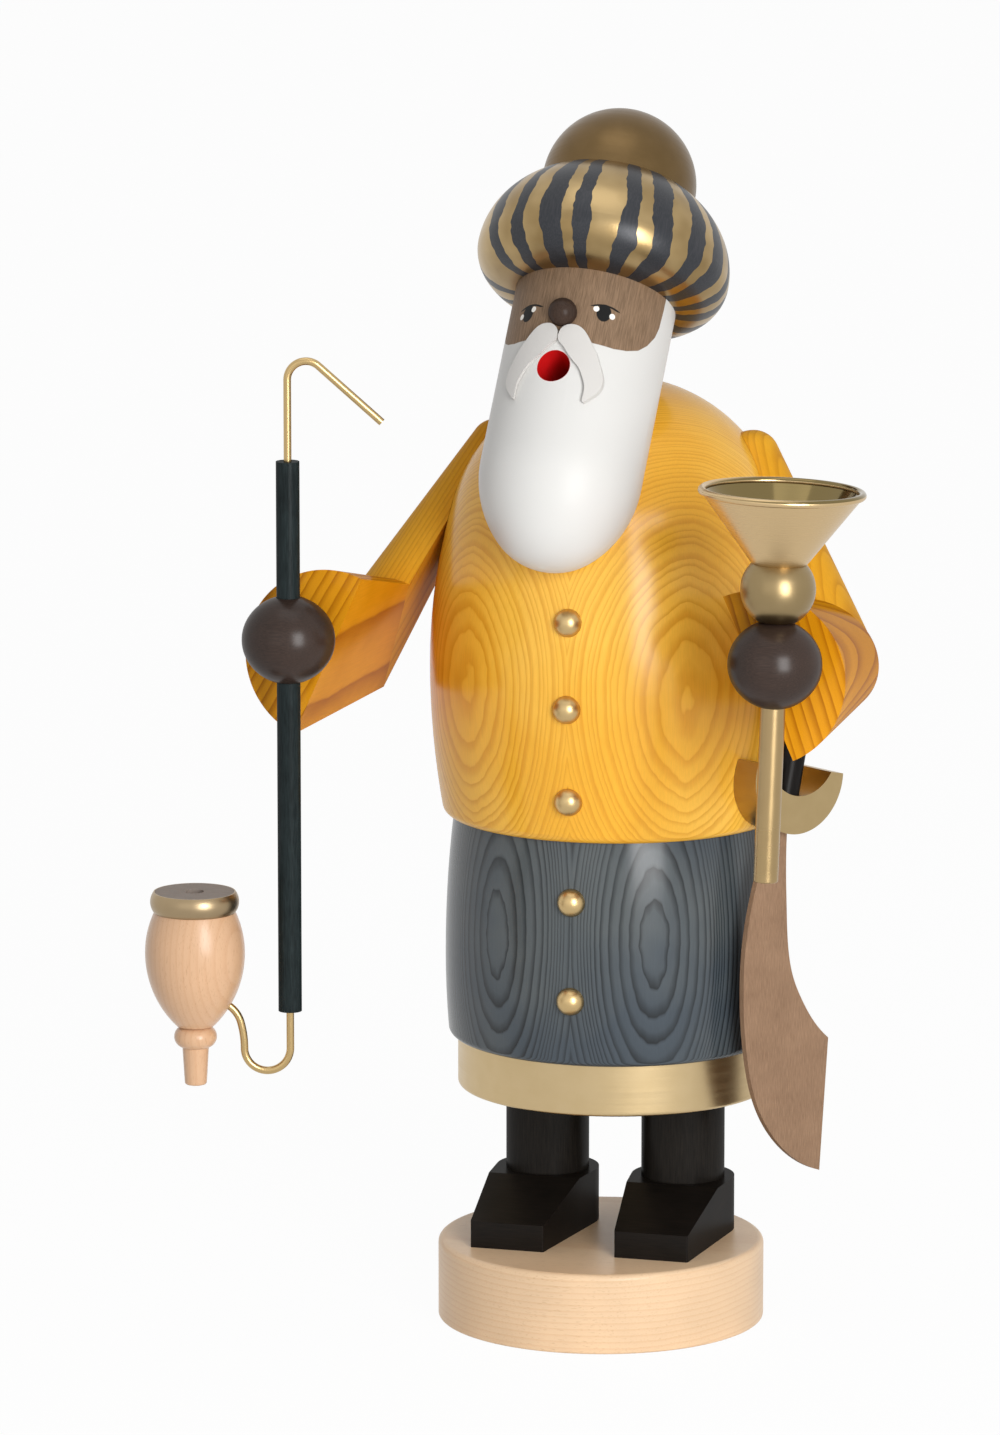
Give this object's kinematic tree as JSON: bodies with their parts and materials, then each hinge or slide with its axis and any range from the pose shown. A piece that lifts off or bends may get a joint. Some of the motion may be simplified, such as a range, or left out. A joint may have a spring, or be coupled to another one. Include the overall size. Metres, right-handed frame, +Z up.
{
  "type": "incense smoker figure",
  "caption": "Turned wooden incense smoker: a bearded man in a turban with a pipe, a torch and a sword. His upper half lifts off a dish for the cone.",
  "frame": {"origin": "centre of the base disc's underside", "axes": "+Z up; the figure looks along -Y; +X is the figure's left, the side of the torch and sword"},
  "size_m": [0.2907, 0.2385, 0.4966],
  "materials": {
    "pale_wood": "clear satin lacquer on pale beech and maple",
    "black_stain": "black-brown stain, satin",
    "gold_paint": "gold paint on turned wood, satin",
    "blue_stain": "blue-grey stain on laminated pine, satin lacquer",
    "orange_stain": "yellow-orange stain on laminated pine, gloss lacquer",
    "white_paint": "white satin paint",
    "dark_stain": "dark brown stain, satin lacquer",
    "green_black_stain": "green-black stain, satin",
    "grey_brown_stain": "grey-brown stain, satin",
    "blade_wood": "brown stained veneer, matte",
    "plain_wood": "bare beech dowel",
    "brass": "drawn brass",
    "polished_brass": "spun brass, polished inside and satin outside"
  },
  "bodies": {
    "lower_figure": {"base_disc": "pale_wood", "right_shoe": "black_stain", "left_shoe": "black_stain", "right_leg": "black_stain", "left_leg": "black_stain", "hem_ring": "gold_paint", "skirt": "blue_stain", "cone_dish": "brass", "dish_nails": "brass", "skirt_button_upper": "gold_paint", "skirt_button_lower": "gold_paint"},
    "upper_figure": {"jacket": "orange_stain", "jacket_button_upper": "gold_paint", "jacket_button_middle": "gold_paint", "jacket_button_lower": "gold_paint", "head": "white_paint", "nose": "dark_stain", "right_moustache": "white_paint", "left_moustache": "white_paint", "turban": "gold_paint", "turban_dome": "gold_paint", "turban_dowel": "plain_wood", "head_dowel": "plain_wood", "right_upper_arm": "orange_stain", "left_upper_arm": "orange_stain", "right_forearm": "orange_stain", "left_forearm": "orange_stain", "right_shoulder_dowel": "plain_wood", "left_shoulder_dowel": "plain_wood", "right_elbow_dowel": "plain_wood", "left_elbow_dowel": "plain_wood", "right_wrist_dowel": "plain_wood", "left_wrist_dowel": "plain_wood", "right_hand": "dark_stain", "left_hand": "dark_stain", "pipe_stem": "green_black_stain", "pipe_mouthpiece": "brass", "pipe_wire": "brass", "pipe_bowl": "pale_wood", "bowl_ring": "gold_paint", "bowl_lid": "grey_brown_stain", "torch_rod": "gold_paint", "torch_ball": "gold_paint", "torch_cup": "polished_brass", "torch_screw": "brass", "sword_grip": "black_stain", "sword_guard": "gold_paint", "sword_blade": "blade_wood", "guard_dowel": "plain_wood"}
  },
  "joints": [
    {"name": "upper_lift", "type": "slide", "parent": "lower_figure", "child": "upper_figure", "axis": [0, 0, 1], "range_m": [0, 0.1]}
  ]
}
